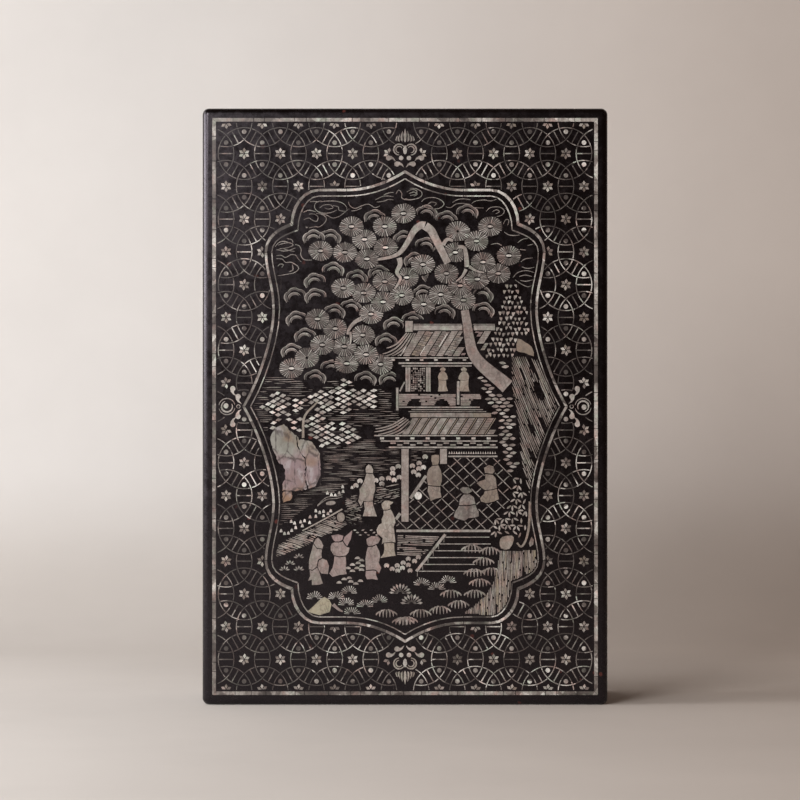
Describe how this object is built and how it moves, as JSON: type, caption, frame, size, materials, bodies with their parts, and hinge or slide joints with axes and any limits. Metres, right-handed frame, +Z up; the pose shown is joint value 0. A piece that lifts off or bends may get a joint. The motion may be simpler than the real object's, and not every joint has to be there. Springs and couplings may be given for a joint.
{
  "type": "inlaid lacquer box",
  "caption": "Rectangular black lacquer box with a deep lift-off lid, its face inlaid in mother-of-pearl with a garden picture in a lobed frame on a ring diaper.",
  "frame": {"origin": "centre of the end the box stands on", "axes": "+X across the lid, +Z up along the box's length, -Y out through the face of the lid"},
  "size_m": [0.25, 0.092, 0.368],
  "materials": {
    "lacquer_body": "black lacquer",
    "lacquer_lid": "black lacquer",
    "lacquer_lip": "black lacquer",
    "pearl_lines": "polished shell",
    "pearl_diaper": "polished shell",
    "pearl_picture": "polished shell"
  },
  "bodies": {
    "box": {"base_board": "lacquer_body", "body_wall_left": "lacquer_body", "body_wall_right": "lacquer_body", "body_wall_top": "lacquer_body", "body_wall_foot": "lacquer_body", "lip_left": "lacquer_lip", "lip_right": "lacquer_lip", "lip_top": "lacquer_lip", "lip_foot": "lacquer_lip"},
    "lid": {"lid_board": "lacquer_lid", "lid_wall_left": "lacquer_lid", "lid_wall_right": "lacquer_lid", "lid_wall_top": "lacquer_lid", "lid_wall_foot": "lacquer_lid", "pearl_border": "pearl_lines", "frame_outer": "pearl_lines", "frame_inner": "pearl_lines", "diaper_rings": "pearl_diaper", "diaper_bars": "pearl_diaper", "diaper_dots": "pearl_diaper", "diaper_florets": "pearl_diaper", "lotus_buds": "pearl_diaper", "pine_boughs": "pearl_picture", "pine_heads": "pearl_picture", "cloud_crescents": "pearl_picture", "cloud_scrolls": "pearl_picture", "pavilion_roofs": "pearl_picture", "pavilion_frame": "pearl_picture", "pavilion_lattice": "pearl_picture", "balcony": "pearl_picture", "terrace_steps": "pearl_picture", "figures": "pearl_picture", "rock_left": "pearl_picture", "rocks_right": "pearl_picture", "embankment": "pearl_picture", "water_lines": "pearl_picture", "bush_leaves": "pearl_picture", "vine_leaves": "pearl_picture", "ground_plants": "pearl_picture", "pebbles": "pearl_picture"}
  },
  "joints": [
    {"name": "lid_lift", "type": "slide", "parent": "box", "child": "lid", "axis": [0, -1, 0], "range_m": [0, 0.16]}
  ]
}
